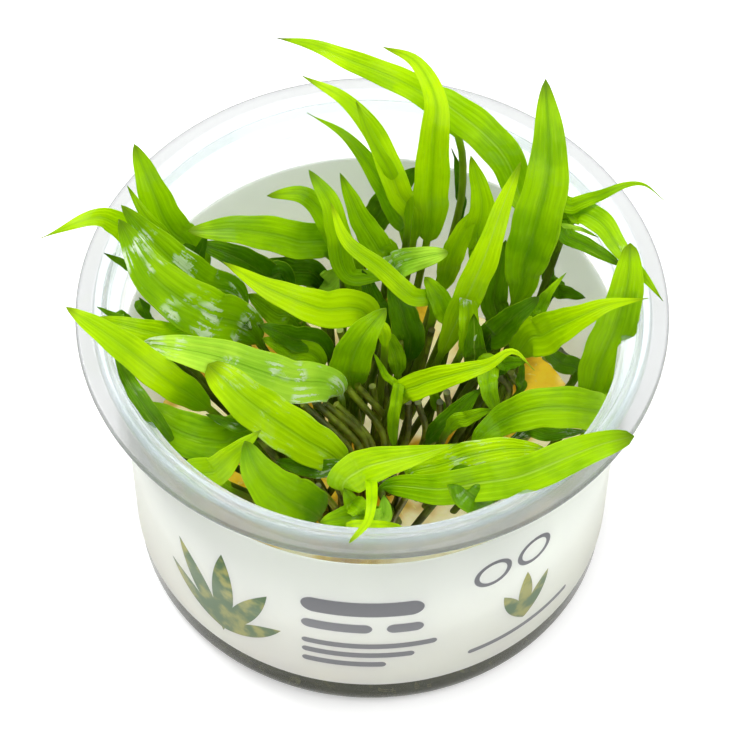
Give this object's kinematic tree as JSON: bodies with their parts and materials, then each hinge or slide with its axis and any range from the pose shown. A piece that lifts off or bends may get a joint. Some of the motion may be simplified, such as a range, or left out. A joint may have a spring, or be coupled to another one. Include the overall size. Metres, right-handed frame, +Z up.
{
  "type": "potted aquarium plant",
  "caption": "Low round clear cup with a flanged rim and a label band, packed with upright lance-shaped green leaves rising from gel.",
  "frame": {"origin": "centre of the cup's flat base", "axes": "+Z up along the cup's axis, -Y towards the front of the label"},
  "size_m": [0.1056, 0.1001, 0.0921],
  "materials": {
    "clear_plastic": "gloss",
    "white_film": "satin",
    "amber_gel": "gloss",
    "bright_leaf": "satin",
    "middle_leaf": "satin",
    "shaded_leaf": "satin",
    "pale_leaf": "gloss"
  },
  "bodies": {
    "root": {"cup": "clear_plastic", "label": "white_film", "gel": "amber_gel", "leaf_arch_left": "bright_leaf", "leaf_arch_right": "middle_leaf", "leaf_back_tall": "bright_leaf", "leaf_back_2": "bright_leaf", "leaf_back_3": "middle_leaf", "leaf_back_4": "middle_leaf", "leaf_back_low": "shaded_leaf", "leaf_mid_back": "bright_leaf", "leaf_mid_low": "bright_leaf", "leaf_mid_tall": "bright_leaf", "leaf_right_tall": "middle_leaf", "leaf_right_high": "middle_leaf", "leaf_right_dark": "shaded_leaf", "leaf_right_arch": "middle_leaf", "leaf_right_hang": "middle_leaf", "leaf_right_front": "bright_leaf", "leaf_right_mid": "shaded_leaf", "leaf_right_fold": "middle_leaf", "leaf_centre_curl": "bright_leaf", "leaf_centre_drop": "middle_leaf", "leaf_fan_1": "middle_leaf", "leaf_fan_2": "middle_leaf", "leaf_fan_3": "middle_leaf", "leaf_fan_4": "bright_leaf", "leaf_centre_pale": "pale_leaf", "leaf_centre_short": "middle_leaf", "leaf_centre_rib": "shaded_leaf", "leaf_centre_dark": "shaded_leaf", "leaf_centre_tongue": "middle_leaf", "leaf_centre_broad": "middle_leaf", "leaf_front_dark": "shaded_leaf", "leaf_front_right_high": "middle_leaf", "leaf_front_right_low": "shaded_leaf", "leaf_front_long": "middle_leaf", "leaf_front_right_mid": "bright_leaf", "leaf_front_curl": "shaded_leaf", "leaf_front_high": "bright_leaf", "leaf_front_tongue": "bright_leaf", "leaf_front_lip": "middle_leaf", "leaf_front_side": "shaded_leaf", "leaf_front_left": "middle_leaf", "leaf_left_back": "middle_leaf", "leaf_left_back_low": "middle_leaf", "leaf_left_wet": "middle_leaf", "leaf_left_broad": "middle_leaf", "leaf_left_out": "bright_leaf", "leaf_left_mid": "bright_leaf", "leaf_left_long": "bright_leaf", "leaf_left_pale": "pale_leaf", "leaf_left_fold": "bright_leaf", "leaf_left_low": "middle_leaf", "leaf_left_tip": "bright_leaf", "leaf_left_wall": "shaded_leaf", "leaf_left_high": "middle_leaf", "leaf_left_under": "shaded_leaf", "leaf_left_bright": "bright_leaf", "leaf_left_inner": "shaded_leaf"}
  },
  "joints": []
}
